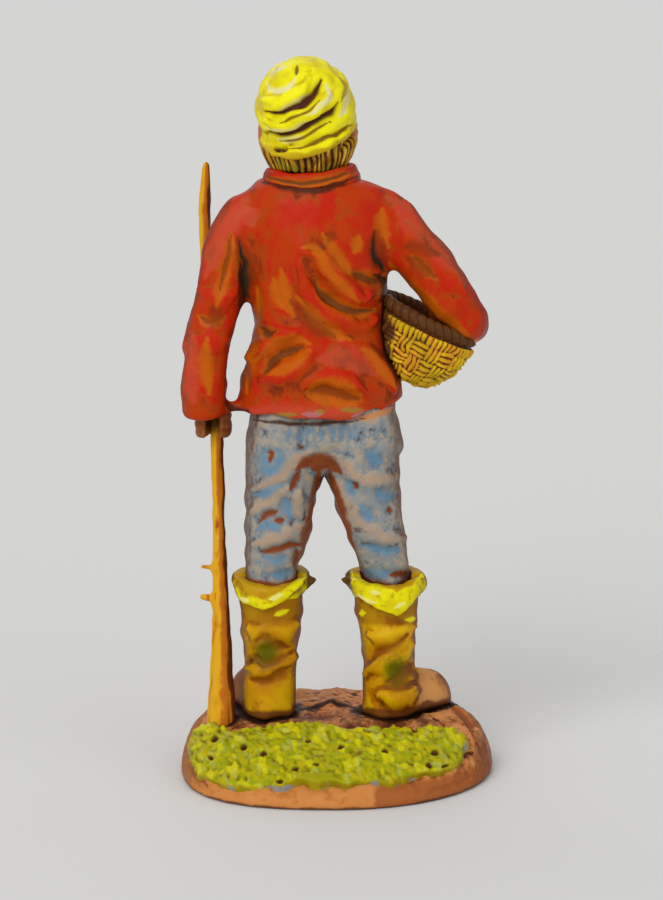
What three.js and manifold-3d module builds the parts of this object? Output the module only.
// Santon figurine: a countryman in a knit cap, jacket and turned-down boots, standing on a grassy mound
// with a crooked pole in the left hand and a wicker basket under the right arm.
// Millimetres, +Z up. The figure faces +Y and the origin is the centre of the mound's underside.

import * as THREE from 'three';
import { LoftGeometry } from 'three/addons/geometries/LoftGeometry.js';
import { mergeVertices } from 'three/addons/utils/BufferGeometryUtils.js';
import Module from 'manifold-3d';

const wasm = await Module();
wasm.setup();

// Fits between pieces
const CLEARANCE = 0.3; // slip gap around every tenon and seat
const SOCKET_DEPTH = 0.6; // how deep the boots and the pole stand in the mound
const TENON = 3.5; // how far a leg, neck, wrist or waist runs into the piece that holds it

// Mound and its grass
const BASE_WIDE = 44;
const BASE_DEEP = 41;
const BASE_HEIGHT = 8; // table to the trodden top
const RIM_HEIGHT = 2.2; // plain upright edge
const TOP_WIDE = 34;
const TOP_DEEP = 17;
const TOP_FORWARD = 4.2; // the top lies forward, which leaves a long bank at the back
const GRASS_THICK = 1.1;
const GRASS_LUMP = 0.8; // height of the tufts
const CORNER_FULL = 2.1; // how much fuller the oval is at the left of its back

// Boots
const LEFT_FOOT = -9.6; // across the mound, centre of each heel
const RIGHT_FOOT = 7.5;
const HEEL_BACK = 1.2; // heel centre, forward of the mound's centre
const BOOT_HEIGHT = 19; // trodden top to the mouth of the shaft
const ANKLE_WIDE = 7.5;
const SHAFT_WIDE = 9.4; // at the mouth
const FOOT_LENGTH = 14.5;
const FOOT_WIDE = 6.8;
const FOOT_HEIGHT = 5.7;
const LEFT_TOE_OUT = 20; // degrees
const RIGHT_TOE_OUT = 48;
const CUFF_DROP = 5.2; // turned-down cuff, mouth to the point at the back
const CUFF_PROUD = 1;

// Trousers
const LEG_HEIGHT = 14.7; // boot mouth to crotch
const SEAT_HEIGHT = 9.3; // crotch to the jacket's hem
const CROTCH_X = -2;
const HIP_WIDE = 20.8;
const HIP_DEEP = 13.4;
const THIGH_WIDE = 10.2;
const KNEE_WIDE = 8.4;
const CALF_WIDE = 6.9;

// Jacket
const BACK_HEIGHT = 32.2; // hem to the root of the neck
const JACKET_X = -2.6;
const JACKET_Y = 2;
const HEM_WIDE = 23.6;
const HEM_SWING = 0.35; // the hem hangs a little to the basket's side
const HEM_DEEP = 16.5;
const WAIST_WIDE = 18.9;
const WAIST_DEEP = 14.7;
const CHEST_WIDE = 20.6;
const CHEST_DEEP = 15.2;
const NECK_WIDE = 13.4;
const COLLAR_HEIGHT = 4.2;
const COLLAR_WIDE = 14;
const FOLD_RISE = 1; // drapery folds over the back
const FOLD_WIDE = 1.3;
const CREASE_FALL = 0.6; // creases beside the folds
const CREASE_WIDE = 0.8;

// Arms
const SHOULDER_WIDE = 19.6;
const SHOULDER_DROP = 5.6; // root of the neck down to the shoulder joint
const SLEEVE_WIDE = 7.8; // at the shoulder
const SLEEVE_END = 6.1; // at the left cuff
const FOREARM_WIDE = 5.2; // at the right cuff
const LEFT_ARM_DROP = 27.2; // shoulder to cuff
const LEFT_ARM_OUT = 5.7;
const RIGHT_ELBOW_OUT = 10.8;
const RIGHT_ELBOW_DROP = 14.4;
const FOREARM_FORWARD = 8.4;
const FOREARM_IN = 7.6;
const FIST_WIDE = 5.2;
const GRIP_IN = 1.4; // from the cuff to the middle of the grip
const GRIP_AHEAD = 2.4;
const GRIP_DROP = 1.6;
const HAND_LENGTH = 6.6; // of the flat hand, cuff to fingertips

// Head, hair and cap
const HEAD_WIDE = 11.6;
const HEAD_DEEP = 13.2;
const HEAD_HEIGHT = 15.2;
const CHIN_RISE = 1.2; // root of the neck up to the chin
const NECK_THICK = 8;
const HAIR_THICK = 1;
const HAIR_STRANDS = 22;
const CAP_THICK = 0.85;
const CAP_HEIGHT = 10.9; // brim to crown, along the tilted axis
const CAP_TURNS = 4; // turns of the spiral fold
const CAP_FOLD = 0.4;
const CAP_TILT_SIDE = 0.23; // how the brim climbs towards the right, per millimetre
const CAP_TILT_FRONT = 0.5; // how it climbs towards the forehead

// Pole
const POLE_FOOT = 3.2; // diameters
const POLE_MIDDLE = 2;
const POLE_TIP = 1.2;
const POLE_ABOVE_GRIP = 36.4;
const POLE_LEAN = 4; // the foot stands this far behind the grip
const TWIG_LENGTH = 2.7; // from the pole's middle
const TWIG_THICK = 1;

// Basket
const BASKET_WIDE = 15;
const BASKET_DEEP = 12.6;
const BASKET_HEIGHT = 8;
const BASKET_TILT = 26; // degrees, mouth turned away from the body
const BASKET_HOLLOW = 3;
const BASKET_STAKES = 18;
const WEAVE_RELIEF = 0.25;
const RIM_THICK = 1.4;
const BASKET_IN = 5.8; // from the elbow to the middle of the mouth
const BASKET_DROP = 0.3; // the middle of the mouth below the elbow

// Levels above the trodden top
const CROTCH = BOOT_HEIGHT + LEG_HEIGHT;
const HEM = CROTCH + SEAT_HEIGHT;
const NECK = HEM + BACK_HEIGHT;
const CHIN = NECK + CHIN_RISE;
const SHOULDER = NECK - SHOULDER_DROP;
const NECK_X = JACKET_X - 1.2;

const { lerp, degToRad } = THREE.MathUtils;
const vector = (x, y, z) => new THREE.Vector3(x, y, z);
const FORWARDS = vector(0, 1, 0);
const UPWARDS = vector(0, 0, 1);

// One cross-section of a loft: its centre, its width and its depth
const station = (centre, wide, deep = wide) => ({ centre, wide, deep });

// Turns a closed three.js geometry into a solid that can be joined and cut
function solid(geometry) {
  const shell = new THREE.BufferGeometry();
  shell.setAttribute('position', geometry.attributes.position);
  shell.setIndex(geometry.index);
  const merged = mergeVertices(shell);
  return new wasm.Manifold(new wasm.Mesh({
    numProp: 3,
    vertProperties: new Float32Array(merged.attributes.position.array),
    triVerts: new Uint32Array(merged.index.array),
  }));
}

// A closed solid skinned through oval sections. A smooth curve carries the stations on to the sections
// between them. Level sections stay horizontal; the others stand square to the spine, with their depth
// towards `front`. `relief` gives how far a point of the skin stands out and how far it slides along
// the spine, `grow` swells the whole form, and `crowd` draws the sides together at the back.
function loft(stations, options = {}) {
  const { sections = 12, sides = 20, crowd = 0, grow = 0, relief = null } = options;
  const { level = false, front = FORWARDS } = options;
  const spine = new THREE.CatmullRomCurve3(stations.map((entry) => entry.centre));
  const spread = new THREE.CatmullRomCurve3(
    stations.map((entry) => vector(entry.wide, entry.deep, 0)), false, 'catmullrom');
  const rise = stations.at(-1).centre.z - stations[0].centre.z;
  const upright = UPWARDS.clone().multiplyScalar(Math.sign(rise));
  const rows = [];
  for (let row = 0; row <= sections; row += 1) {
    const share = row / sections;
    const heading = level ? upright : spine.getTangent(share);
    const across = new THREE.Vector3().crossVectors(front, heading).normalize();
    const along = new THREE.Vector3().crossVectors(heading, across);
    const overrun = (row === sections ? grow : 0) - (row === 0 ? grow : 0);
    const centre = spine.getPoint(share).addScaledVector(heading, overrun);
    const size = spread.getPoint(share);
    const ring = [];
    for (let side = 0; side < sides; side += 1) {
      const turn = (side / sides) * 2 * Math.PI;
      const angle = turn - crowd * Math.cos(turn);
      const point = centre.clone()
        .addScaledVector(across, Math.cos(angle) * (size.x / 2 + grow))
        .addScaledVector(along, Math.sin(angle) * (size.y / 2 + grow));
      const { out = 0, slide = 0 } = relief ? relief(angle, share, point) : {};
      const outwards = point.clone().sub(centre).normalize();
      ring.push(point.addScaledVector(outwards, out).addScaledVector(heading, slide));
    }
    rows.push(ring);
  }
  return solid(new LoftGeometry(rows, { capStart: true, capEnd: true }));
}

// An upright prism over a plan outline
function prism(outline, bottom, top) {
  const plan = new THREE.Shape(outline.map(([x, y]) => new THREE.Vector2(x, y)));
  const geometry = new THREE.ExtrudeGeometry(plan, { depth: top - bottom, bevelEnabled: false });
  geometry.translate(0, 0, bottom);
  return solid(geometry);
}

// What is left of a form once its neighbours are taken out; loose chips are dropped
function fitted(form, ...neighbours) {
  const cut = neighbours.reduce((rest, neighbour) => rest.subtract(neighbour), form);
  return cut.decompose().reduce((best, body) => (body.volume() > best.volume() ? body : best));
}

function piece(name, form, color, roughness) {
  const { numProp, vertProperties, triVerts } = form.getMesh();
  const geometry = new THREE.BufferGeometry();
  geometry.setAttribute('position', new THREE.BufferAttribute(new Float32Array(vertProperties), numProp));
  geometry.setIndex(new THREE.BufferAttribute(new Uint32Array(triVerts), 1));
  geometry.computeVertexNormals();
  const mesh = new THREE.Mesh(geometry, new THREE.MeshStandardMaterial({ color, roughness, metalness: 0 }));
  mesh.name = name;
  return mesh;
}

// Height of a low wave with `count` crests in a turn
const wave = (angle, count) => Math.cos(angle * count);

// Mound: an upright rim, then a slope that is steep at the sides and long at the back
function moundForm(grow = 0, tufts = null, sides = 36, sections = 8) {
  const RIM_SETBACK = 0.6;
  const relief = (angle, share) => {
    const leftBack = 2 * Math.max(0, -Math.cos(angle)) * Math.max(0, -Math.sin(angle));
    return { out: (1 - share) * CORNER_FULL * leftBack ** 2, slide: tufts ? tufts(angle, share) : 0 };
  };
  const slope = [0, 0.5, 0.85, 1].map((share) => station(
    vector(0, lerp(RIM_SETBACK / 2, TOP_FORWARD, share), lerp(RIM_HEIGHT, BASE_HEIGHT, share) - BASE_HEIGHT),
    lerp(BASE_WIDE - RIM_SETBACK, TOP_WIDE, share ** 2.2),
    lerp(BASE_DEEP - 2 * RIM_SETBACK, TOP_DEEP, share ** 1.4),
  ));
  const foot = station(vector(0, 0, -BASE_HEIGHT), BASE_WIDE, BASE_DEEP);
  return loft([foot, ...slope], { level: true, grow, relief, sides, sections });
}

// Grass: a tufted skin over the bank at the back, in an uneven crescent
const GRASS_EDGE = [
  // shares of the mound's half width and half depth, round the crescent
  [-0.95, -0.08], [-0.86, -0.46], [-0.55, -0.8], [0, -0.93], [0.5, -0.81], [0.77, -0.49], [0.84, -0.2],
  [0.55, -0.24], [0.1, -0.32], [-0.27, -0.24], [-0.64, -0.28], [-0.84, -0.05],
];

function grassForm() {
  const TUFTS_ROUND = 24;
  const TUFTS_UP = 8;
  const DRIFTS_ROUND = 17;
  const tufts = (angle, share) => {
    const rows = wave(angle, TUFTS_ROUND) * Math.sin(share * TUFTS_UP * Math.PI);
    const drifts = wave(angle + 3 * share, DRIFTS_ROUND);
    return GRASS_LUMP * (0.5 + 0.25 * (rows + drifts));
  };
  const corners = GRASS_EDGE.map(([x, y]) => vector(x * BASE_WIDE / 2, y * BASE_DEEP / 2, 0));
  const outline = new THREE.CatmullRomCurve3(corners, true).getPoints(3 * corners.length).slice(1);
  const bank = prism(outline.map(({ x, y }) => [x, y]), RIM_HEIGHT - BASE_HEIGHT, BASE_HEIGHT);
  const turf = moundForm(GRASS_THICK, tufts, 4 * TUFTS_ROUND, 2 * TUFTS_UP);
  return turf.intersect(bank).subtract(moundForm(CLEARANCE));
}

// Boots: an upright shaft that sags at the ankle, on a foot turned outwards
const LEFT_BOOT = { foot: LEFT_FOOT, shin: LEFT_FOOT + 0.5, toeOut: -degToRad(LEFT_TOE_OUT) };
const RIGHT_BOOT = { foot: RIGHT_FOOT, shin: RIGHT_FOOT - 0.7, toeOut: degToRad(RIGHT_TOE_OUT) };

function bootForm(boot, grow = 0) {
  const shaftWidths = [[0, 1], [0.25, 1.02], [0.46, 0.99], [0.6, 1.1]];
  const shaft = shaftWidths.map(([share, swell]) => station(
    vector(lerp(boot.foot, boot.shin, share), HEEL_BACK, lerp(-SOCKET_DEPTH, BOOT_HEIGHT, share)),
    ANKLE_WIDE * swell,
    ANKLE_WIDE * swell * 1.06,
  ));
  shaft.push(station(vector(boot.shin, HEEL_BACK, BOOT_HEIGHT), SHAFT_WIDE));
  const ahead = vector(Math.sin(boot.toeOut), Math.cos(boot.toeOut), 0);
  const footSizes = [[-0.28, 0.62, 0.8], [-0.15, 0.94, 1.5], [0.2, 0.98, 1.95], [0.48, 1, 1.75],
    [0.64, 0.84, 1.4], [0.72, 0.5, 0.85]];
  const foot = footSizes.map(([share, wide, high]) => station(
    vector(boot.foot, HEEL_BACK, 0).addScaledVector(ahead, share * FOOT_LENGTH),
    FOOT_WIDE * wide,
    FOOT_HEIGHT * high,
  ));
  const ground = prism([[-BASE_WIDE, -BASE_DEEP], [BASE_WIDE, -BASE_DEEP], [BASE_WIDE, BASE_DEEP],
    [-BASE_WIDE, BASE_DEEP]], -BASE_HEIGHT - FOOT_HEIGHT, -SOCKET_DEPTH - grow);
  const upright = loft(shaft, { level: true, grow, sides: 18, sections: 8 });
  return loft(foot, { front: UPWARDS, grow, sides: 14, sections: 7 }).add(upright).subtract(ground);
}

// Cuffs: the top of each boot turned down, flared, with a point at the back
function cuffForm(boot) {
  const MOUTH_ROLL = 0.9;
  const POINT_RISE = 2.4;
  const drop = (angle, share) => ({
    slide: (1 - share) * POINT_RISE * (1 - Math.max(0, Math.cos(angle + Math.PI / 2)) ** 3),
  });
  const at = (height) => vector(boot.shin, HEEL_BACK, BOOT_HEIGHT + height);
  return loft([
    station(at(-CUFF_DROP), SHAFT_WIDE + 2 * CUFF_PROUD),
    station(at(-CUFF_DROP * 0.55), SHAFT_WIDE + 1.9 * CUFF_PROUD),
    station(at(0), SHAFT_WIDE + 1.2 * CUFF_PROUD),
    station(at(MOUTH_ROLL), SHAFT_WIDE),
  ], { level: true, relief: drop, sides: 24, sections: 5 });
}

// Trousers: two legs that taper into their boots, joined at the seat, with a waist drawn in under the jacket
function legForm(boot, side, grow) {
  const WAIST_DRAW = 0.84;
  const knee = lerp(BOOT_HEIGHT, CROTCH, 0.4);
  const thighX = CROTCH_X + side * (HIP_WIDE - THIGH_WIDE) / 2;
  const waistX = lerp(CROTCH_X, thighX, WAIST_DRAW);
  return loft([
    station(vector(boot.shin, HEEL_BACK, BOOT_HEIGHT - TENON), CALF_WIDE * 0.96),
    station(vector(boot.shin, HEEL_BACK, BOOT_HEIGHT + 1.5), CALF_WIDE, CALF_WIDE * 1.1),
    station(vector(lerp(boot.shin, thighX, 0.35), HEEL_BACK, knee), KNEE_WIDE, KNEE_WIDE * 1.1),
    station(vector(lerp(boot.shin, thighX, 0.85), JACKET_Y, CROTCH - 2), THIGH_WIDE * 0.97, HIP_DEEP * 0.88),
    station(vector(thighX, JACKET_Y, lerp(CROTCH, HEM, 0.5)), THIGH_WIDE, HIP_DEEP),
    station(vector(waistX, JACKET_Y, HEM + TENON), THIGH_WIDE * WAIST_DRAW, HIP_DEEP * WAIST_DRAW),
  ], { level: true, grow, sides: 18, sections: 10 });
}

function trousersForm(grow = 0) {
  const seat = loft([
    station(vector(CROTCH_X, JACKET_Y, CROTCH + 1), THIGH_WIDE * 0.2, HIP_DEEP * 0.5),
    station(vector(CROTCH_X, JACKET_Y, lerp(CROTCH, HEM, 0.6)), HIP_WIDE * 0.7, HIP_DEEP * 0.96),
    station(vector(CROTCH_X, JACKET_Y, HEM + TENON), HIP_WIDE * 0.7, HIP_DEEP * 0.84),
  ], { level: true, grow, sides: 18, sections: 4 });
  return seat.add(legForm(LEFT_BOOT, -1, grow)).add(legForm(RIGHT_BOOT, 1, grow));
}

// Jacket: a fitted body whose back is crossed by drapery folds, with creases beside them
const BACK_FOLDS = [
  // each line runs through points given across the jacket and above its hem
  [[-1.8, 23.1], [0.3, 22.3], [1.9, 20.3], [4.1, 18.1], [6.3, 16.7]],
  [[-2.4, 21.2], [-1.6, 18.4], [0, 16], [2.2, 14.3], [4.7, 13], [6.8, 13]],
  [[-9.5, 8.3], [-8.3, 9.8], [-6.4, 11], [-4.5, 11.8], [-2.6, 12.1]],
  [[-7.9, 5.6], [-5.3, 6.2], [-2.7, 7.4], [-0.8, 9.3]],
  [[3.6, 10.7], [5.5, 9.7], [7.6, 8], [9.2, 6.2], [10.4, 4.1]],
  [[-2, 4.8], [-0.5, 5.8], [1.7, 6.1], [4.4, 5.3], [6.4, 3.8]],
];
const BACK_CREASES = [
  [[-0.4, 19.5], [0.3, 17.9], [1.7, 16.6], [3.6, 15.5], [5.7, 14.8], [7.7, 15.2]],
  [[-7.5, 7], [-6.1, 8.2], [-4.2, 9.4], [-2, 10]],
  [[-0.9, 3.9], [1.1, 3.8], [3.3, 3.3], [5.5, 2.5]],
];

// How near a spot of the back lies to some lines: 1 on a line, 0 far from all
function closeness(lines, spot, width) {
  const nearest = new THREE.Vector3();
  const corner = ([across, above]) => vector(across, 0, above);
  const distances = lines.flatMap((line) => line.slice(1).map((end, step) => {
    const run = new THREE.Line3(corner(line[step]), corner(end));
    return run.closestPointToPoint(spot, true, nearest).distanceTo(spot);
  }));
  return Math.exp(-((Math.min(...distances) / width) ** 2));
}

function foldRelief(angle, share, point) {
  const onBack = Math.sqrt(Math.max(0, -Math.sin(angle)));
  const spot = vector(point.x - JACKET_X, 0, point.z - HEM);
  const rise = FOLD_RISE * closeness(BACK_FOLDS, spot, FOLD_WIDE);
  const fall = CREASE_FALL * closeness(BACK_CREASES, spot, CREASE_WIDE);
  return { out: onBack * (rise - fall) };
}

function jacketForm(grow = 0) {
  const at = (share, swing = 0) => vector(JACKET_X + swing, JACKET_Y, lerp(HEM, NECK, share));
  const shoulderWide = SHOULDER_WIDE + 0.9;
  return loft([
    station(at(0, HEM_SWING), HEM_WIDE, HEM_DEEP),
    station(at(0.13, HEM_SWING), lerp(WAIST_WIDE, HEM_WIDE, 0.72), lerp(WAIST_DEEP, HEM_DEEP, 0.8)),
    station(at(0.42), WAIST_WIDE, WAIST_DEEP),
    station(at(0.75), CHEST_WIDE, CHEST_DEEP),
    station(at(0.9), shoulderWide, CHEST_DEEP * 0.87),
    station(at(0.96), lerp(NECK_WIDE, shoulderWide, 0.82), CHEST_DEEP * 0.76),
    station(vector(NECK_X + 0.5, JACKET_Y, NECK), NECK_WIDE, NECK_WIDE * 0.8),
  ], { level: true, grow, sides: 40, sections: 26, crowd: 0.45, relief: foldRelief });
}

function collarForm() {
  const at = (height) => vector(NECK_X + 0.4, JACKET_Y + 0.4, NECK + height);
  const band = loft([
    station(at(-2), COLLAR_WIDE + 0.4, COLLAR_WIDE * 0.9),
    station(at(0), COLLAR_WIDE, COLLAR_WIDE * 0.88),
    station(at(COLLAR_HEIGHT - 2), COLLAR_WIDE - 2, COLLAR_WIDE * 0.78),
  ], { level: true, sides: 20, sections: 3 });
  const throat = prism([[NECK_X, JACKET_Y], [NECK_X + COLLAR_WIDE / 3, JACKET_Y + COLLAR_WIDE],
    [NECK_X - COLLAR_WIDE / 3, JACKET_Y + COLLAR_WIDE]], HEM, CHIN + HEAD_HEIGHT);
  return band.subtract(throat);
}

// Arms: each sleeve runs into the jacket at the shoulder
const LEFT_SHOULDER = vector(JACKET_X - SHOULDER_WIDE / 2, JACKET_Y - 0.2, SHOULDER);
const RIGHT_SHOULDER = vector(JACKET_X + SHOULDER_WIDE / 2, JACKET_Y - 0.2, SHOULDER);
const LEFT_WRIST = LEFT_SHOULDER.clone().add(vector(-LEFT_ARM_OUT, -1.4, -LEFT_ARM_DROP));
const RIGHT_ELBOW = RIGHT_SHOULDER.clone().add(vector(RIGHT_ELBOW_OUT, 0.4, -RIGHT_ELBOW_DROP));
const RIGHT_WRIST = RIGHT_ELBOW.clone().add(vector(-FOREARM_IN, FOREARM_FORWARD, -3.6));

function leftSleeveForm(grow = 0) {
  const down = (share, out, back) => LEFT_SHOULDER.clone()
    .add(vector(-LEFT_ARM_OUT * out, back, -LEFT_ARM_DROP * share));
  return loft([
    station(LEFT_SHOULDER.clone().add(vector(TENON, 0, TENON / 2)), SLEEVE_WIDE * 0.92),
    station(LEFT_SHOULDER, SLEEVE_WIDE * 0.93),
    station(down(0.16, 0.4, -0.6), SLEEVE_WIDE * 0.97),
    station(down(0.42, 0.68, -1.2), lerp(SLEEVE_WIDE, SLEEVE_END, 0.45)),
    station(down(0.64, 0.95, -1.8), lerp(SLEEVE_WIDE, SLEEVE_END, 0.8)),
    station(down(0.83, 1.03, -1.8), lerp(SLEEVE_WIDE, SLEEVE_END, 0.85)),
    station(LEFT_WRIST, SLEEVE_END),
  ], { grow, sides: 14, sections: 12 });
}

function rightSleeveForm(grow = 0) {
  const upper = (share, back, lift) => RIGHT_SHOULDER.clone().lerp(RIGHT_ELBOW, share)
    .add(vector(0, back, lift));
  const lower = (share, out, ahead) => RIGHT_ELBOW.clone().lerp(RIGHT_WRIST, share)
    .add(vector(out, ahead, 0));
  return loft([
    station(RIGHT_SHOULDER.clone().add(vector(-TENON, 0, TENON / 2)), SLEEVE_WIDE * 0.9),
    station(RIGHT_SHOULDER, SLEEVE_WIDE * 0.96),
    station(upper(0.26, -0.7, 0.2), SLEEVE_WIDE * 0.97),
    station(upper(0.48, -1.2, 0.6), SLEEVE_WIDE * 0.96),
    station(upper(0.73, -1.9, 0.6), SLEEVE_WIDE * 0.93),
    station(upper(0.92, -1.9, -0.2), SLEEVE_WIDE * 0.85),
    station(RIGHT_ELBOW, SLEEVE_WIDE * 0.77),
    station(lower(0.45, 2.4, 0.4), lerp(FOREARM_WIDE, SLEEVE_WIDE, 0.25)),
    station(lower(0.8, 1.5, 0.8), FOREARM_WIDE * 1.03),
    station(RIGHT_WRIST, FOREARM_WIDE),
  ], { grow, front: UPWARDS, sides: 14, sections: 16 });
}

// Hands: a fist round the pole, and a flat hand under the basket's far side
const GRIP = LEFT_WRIST.clone().add(vector(GRIP_IN, GRIP_AHEAD, -GRIP_DROP));

function leftHandForm(grow = 0) {
  const KNUCKLE = 0.22;
  const FINGERS = 4;
  const knuckles = (angle, share) => ({ out: KNUCKLE * wave(share * 2 * Math.PI, FINGERS) });
  const at = (share, rise) => LEFT_WRIST.clone().lerp(GRIP, share).add(vector(0, 0, FIST_WIDE * rise));
  const fist = loft([
    station(at(0.1, 0.1), SLEEVE_END * 0.66),
    station(at(0.55, 0.04), FIST_WIDE * 0.9),
    station(at(0.8, -0.1), FIST_WIDE),
    station(at(0.85, -0.34), FIST_WIDE * 0.88),
    station(at(0.85, -0.5), FIST_WIDE * 0.52),
  ], { level: true, grow, relief: knuckles, sides: 14, sections: 10 });
  const wrist = loft([
    station(LEFT_WRIST.clone().add(vector(0, 0, TENON)), SLEEVE_END * 0.55),
    station(at(0.4, 0), SLEEVE_END * 0.6),
  ], { grow, sides: 12, sections: 1 });
  return fist.add(wrist);
}

function rightHandForm(grow = 0) {
  const reach = (share, curl) => RIGHT_WRIST.clone()
    .add(vector(-share, -curl, 0).multiplyScalar(HAND_LENGTH));
  return loft([
    station(RIGHT_WRIST.clone().add(vector(TENON, -TENON / 3, TENON / 6)), FOREARM_WIDE * 0.62),
    station(RIGHT_WRIST, FOREARM_WIDE * 0.66),
    station(reach(0.33, 0), FOREARM_WIDE * 0.9, FOREARM_WIDE * 0.62),
    station(reach(0.7, 0.12), FOREARM_WIDE * 0.8, FOREARM_WIDE * 0.5),
    station(reach(1, 0.3), FOREARM_WIDE * 0.46, FOREARM_WIDE * 0.34),
  ], { grow, sides: 14, sections: 10 });
}

// Head: an egg with a plain, even face, and a neck that stands in the jacket
const HEAD_X = NECK_X - 0.2;
const HEAD_Y = JACKET_Y + 1;

function headForm(grow = 0) {
  const at = (share, forward) => vector(HEAD_X, HEAD_Y + forward, CHIN + HEAD_HEIGHT * share);
  const skull = loft([
    station(at(0, 1.6), HEAD_WIDE * 0.36, HEAD_DEEP * 0.4),
    station(at(0.1, 1.2), HEAD_WIDE * 0.7, HEAD_DEEP * 0.72),
    station(at(0.3, 0.4), HEAD_WIDE * 0.92, HEAD_DEEP * 0.94),
    station(at(0.55, 0), HEAD_WIDE, HEAD_DEEP),
    station(at(0.78, -0.4), HEAD_WIDE * 0.8, HEAD_DEEP * 0.8),
    station(at(0.91, -0.6), HEAD_WIDE * 0.44, HEAD_DEEP * 0.44),
    station(at(0.95, -0.6), HEAD_WIDE * 0.16, HEAD_DEEP * 0.16),
  ], { level: true, grow, sides: 20, sections: 12 });
  const nose = loft([
    station(at(0.52, HEAD_DEEP * 0.46), 1.4),
    station(at(0.38, HEAD_DEEP * 0.52), 2.2),
    station(at(0.34, HEAD_DEEP * 0.46), 2),
  ], { grow, sides: 8, sections: 4 });
  const neck = loft([
    station(vector(NECK_X, JACKET_Y, NECK - TENON), NECK_THICK),
    station(vector(NECK_X, JACKET_Y + 0.6, CHIN + HEAD_HEIGHT * 0.3), NECK_THICK),
  ], { level: true, grow, sides: 18, sections: 2 });
  return skull.add(nose).add(neck);
}

// Cap: a dome on a tilted brim, wound with one spiral fold from crown to brim
const CAP_AXIS = vector(-CAP_TILT_SIDE, -CAP_TILT_FRONT, 1).normalize();
const CAP_BRIM = vector(HEAD_X + 0.5, HEAD_Y + 1.5 * CAP_THICK, CHIN + HEAD_HEIGHT * 0.32);

function capForm(grow = 0) {
  const up = (share) => CAP_BRIM.clone().addScaledVector(CAP_AXIS, CAP_HEIGHT * share);
  const wide = HEAD_WIDE + 2 * CAP_THICK;
  const deep = HEAD_DEEP + 2 * CAP_THICK;
  const swirl = (angle, share) => {
    const ease = Math.min(1, 4 * (1 - share));
    return { out: CAP_FOLD * ease * Math.cos(2 * Math.PI * share * CAP_TURNS + angle) };
  };
  const dome = [[0, 0.92], [0.2, 0.98], [0.42, 1.02], [0.62, 0.94], [0.81, 0.74], [0.94, 0.42], [1, 0.1]];
  return loft(dome.map(([share, size]) => station(up(share), wide * size, deep * size)),
    { grow, relief: swirl, sides: 22, sections: 13 });
}

// Hair: a fringe below the cap, round the sides and the nape, open at the face
function hairForm(grow = 0, relief = null, sides = HAIR_STRANDS) {
  const FACE_BACK = 2.2; // the fringe ends this far forward of the head's middle
  const at = (share) => vector(HEAD_X, HEAD_Y, CHIN + HEAD_HEIGHT * share);
  const round = (share, size) => station(at(share),
    HEAD_WIDE * size + 2 * HAIR_THICK, HEAD_DEEP * size + 2 * HAIR_THICK);
  const shell = loft([round(0.04, 0.7), round(0.2, 0.9), round(0.5, 1), round(0.7, 0.9)],
    { level: true, grow, relief, sides, sections: 5 });
  const front = HEAD_Y + FACE_BACK + grow;
  const face = prism([[HEAD_X - HEAD_WIDE, front], [HEAD_X + HEAD_WIDE, front],
    [HEAD_X + HEAD_WIDE, front + HEAD_DEEP], [HEAD_X - HEAD_WIDE, front + HEAD_DEEP]],
  HEM, CHIN + HEAD_HEIGHT);
  return shell.subtract(face);
}

function strandedHairForm() {
  const STRAND_RELIEF = 0.18;
  const strands = (angle) => ({ out: STRAND_RELIEF * wave(angle, HAIR_STRANDS) - STRAND_RELIEF });
  return hairForm(0, strands, 2 * HAIR_STRANDS);
}

// Pole: a crooked branch through the left fist, with two twig stubs
const POLE_BASE = vector(GRIP.x + POLE_MIDDLE / 4, GRIP.y - POLE_LEAN, -SOCKET_DEPTH - POLE_MIDDLE / 2);

function poleForm(grow = 0) {
  const between = (share, sway) => POLE_BASE.clone().lerp(GRIP, share).add(vector(POLE_MIDDLE * sway, 0, 0));
  const above = (share, sway, ahead) => GRIP.clone()
    .add(vector(POLE_MIDDLE * sway, POLE_LEAN * ahead, POLE_ABOVE_GRIP * share));
  const trunk = loft([
    station(POLE_BASE, POLE_FOOT),
    station(between(0.26, 0.1), lerp(POLE_FOOT, POLE_MIDDLE, 0.6)),
    station(between(0.62, 0.05), POLE_MIDDLE * 1.05),
    station(GRIP, POLE_MIDDLE * 0.92),
    station(above(0.46, -0.4, 0.42), POLE_MIDDLE),
    station(above(0.78, -0.8, 0.78), POLE_MIDDLE * 0.92),
    station(above(1, -0.65, 1), POLE_TIP),
  ], { grow, sides: 8, sections: 20 });
  return [0.425, 0.525].reduce((rest, share) => {
    const root = between(share, 0);
    const tip = root.clone().add(vector(-TWIG_LENGTH, 0, TWIG_LENGTH / 10));
    const twig = loft([station(root, TWIG_THICK), station(tip, TWIG_THICK * 0.7)],
      { grow, front: UPWARDS, sides: 8, sections: 1 });
    return rest.add(twig);
  }, trunk);
}

// Basket: a shallow round bowl with upright stakes, its mouth turned away from the body
const BASKET_AXIS = vector(Math.sin(degToRad(BASKET_TILT)), 0, Math.cos(degToRad(BASKET_TILT)));
const BASKET_MOUTH = RIGHT_ELBOW.clone().add(vector(-BASKET_IN, 0, -BASKET_DROP));

function basketForm(grow = 0, relief = null) {
  const up = (share) => BASKET_MOUTH.clone().addScaledVector(BASKET_AXIS, -BASKET_HEIGHT * (1 - share));
  const bowl = [[0, 0.42], [0.06, 0.58], [0.35, 0.83], [0.7, 0.96], [1, 1]];
  return loft(bowl.map(([share, size]) => station(up(share), BASKET_WIDE * size, BASKET_DEEP * size)),
    { grow, relief, sides: 2 * BASKET_STAKES, sections: 7 });
}

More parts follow.
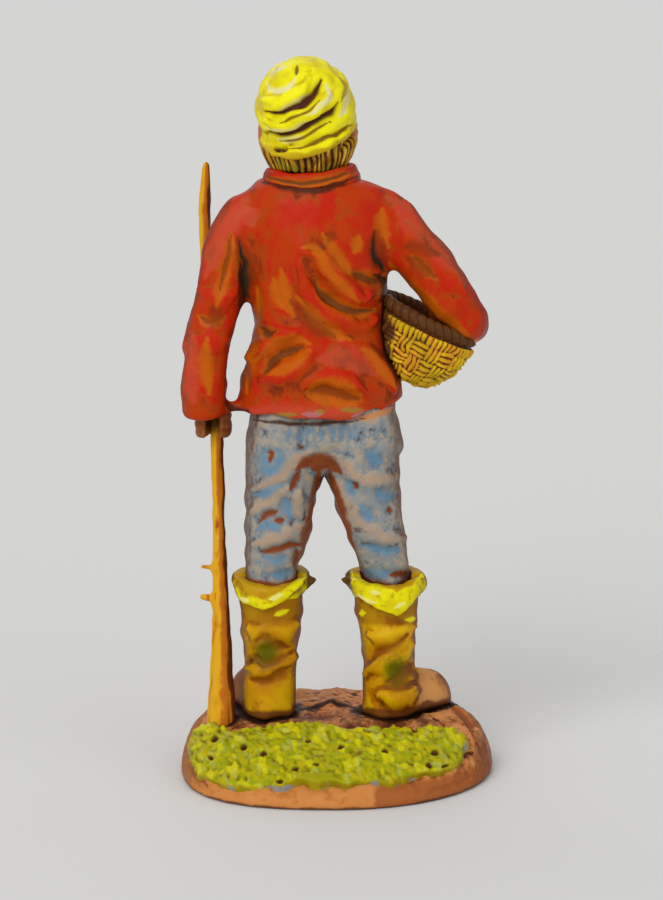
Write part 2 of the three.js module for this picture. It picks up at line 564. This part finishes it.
function bowlForm() {
  const WEAVE_ROWS = 4;
  const weave = (angle, share) => ({
    out: WEAVE_RELIEF * wave(angle, BASKET_STAKES / 2) * Math.sin(share * WEAVE_ROWS * 2 * Math.PI),
  });
  const hollow = loft([
    station(BASKET_MOUTH.clone().addScaledVector(BASKET_AXIS, -BASKET_HOLLOW),
      BASKET_WIDE * 0.7, BASKET_DEEP * 0.7),
    station(BASKET_MOUTH.clone().addScaledVector(BASKET_AXIS, RIM_THICK),
      BASKET_WIDE - 2 * RIM_THICK, BASKET_DEEP - 2 * RIM_THICK),
  ], { sides: 24, sections: 1 });
  return basketForm(0, weave).subtract(hollow);
}

// Rim: a rolled border lying on the basket's mouth
function basketRimForm() {
  const centre = BASKET_MOUTH.clone().addScaledVector(BASKET_AXIS, CLEARANCE + RIM_THICK / 2);
  const across = new THREE.Vector3().crossVectors(FORWARDS, BASKET_AXIS);
  const STEPS = 32;
  const roll = new THREE.TorusGeometry(BASKET_WIDE / 2 - RIM_THICK / 2, RIM_THICK / 2, 8, STEPS);
  const squeeze = (BASKET_DEEP - RIM_THICK) / (BASKET_WIDE - RIM_THICK);
  const pose = new THREE.Matrix4().makeBasis(across, FORWARDS, BASKET_AXIS).setPosition(centre);
  roll.scale(1, squeeze, 1).applyMatrix4(pose);
  return solid(roll);
}

// Seats: each piece gives way to the neighbours that run into it or lie against it
const gap = CLEARANCE;
const boots = { left: bootForm(LEFT_BOOT, gap), right: bootForm(RIGHT_BOOT, gap) };
const pole = poleForm(gap);
const trousers = trousersForm(gap);
const jacket = jacketForm(gap);
const sleeves = { left: leftSleeveForm(gap), right: rightSleeveForm(gap) };
const hands = { left: leftHandForm(gap), right: rightHandForm(gap) };
const head = headForm(gap);
const cap = capForm(gap);
const basket = basketForm(gap + WEAVE_RELIEF);
const hair = hairForm(gap);

const RED = '#b8391f';
const MUSTARD = '#b8961f';
const SKIN = '#d9a273';
const STRAW = '#b59a3f';

const figure = new THREE.Group();
figure.position.z = BASE_HEIGHT;
figure.add(
  piece('base_mound', fitted(moundForm(), boots.left, boots.right, pole), '#c98a5e', 0.6),
  piece('grass_bank', fitted(grassForm(), boots.left, boots.right, pole), '#93a02c', 0.6),
  piece('left_boot', fitted(bootForm(LEFT_BOOT), trousers), MUSTARD, 0.4),
  piece('right_boot', fitted(bootForm(RIGHT_BOOT), trousers), MUSTARD, 0.4),
  piece('left_boot_cuff', fitted(cuffForm(LEFT_BOOT), boots.left, trousers, pole), '#e8df6a', 0.4),
  piece('right_boot_cuff', fitted(cuffForm(RIGHT_BOOT), boots.right, trousers), '#e8df6a', 0.4),
  piece('trousers', trousersForm(), '#8296a3', 0.5),
  piece('jacket', fitted(jacketForm(), trousers, sleeves.left, sleeves.right, head), RED, 0.4),
  piece('jacket_collar', fitted(collarForm(), jacket, head, hair), RED, 0.4),
  piece('left_sleeve', fitted(leftSleeveForm(), pole, hands.left), RED, 0.4),
  piece('right_sleeve', fitted(rightSleeveForm(), hands.right), RED, 0.4),
  piece('left_hand', fitted(leftHandForm(), pole), SKIN, 0.5),
  piece('right_hand', fitted(rightHandForm(), basket, jacket), SKIN, 0.5),
  piece('head', headForm(), SKIN, 0.5),
  piece('hair', fitted(strandedHairForm(), head, cap), '#6b4a22', 0.5),
  piece('cap', fitted(capForm(), head), '#dccb2c', 0.45),
  piece('pole', poleForm(), '#b98522', 0.5),
  piece('basket_bowl', fitted(bowlForm(), jacket, sleeves.right), STRAW, 0.5),
  piece('basket_rim', fitted(basketRimForm(), jacket, sleeves.right), STRAW, 0.5),
);

const santon = new THREE.Group();
santon.name = 'santon_figurine';
santon.add(figure);

export default santon;
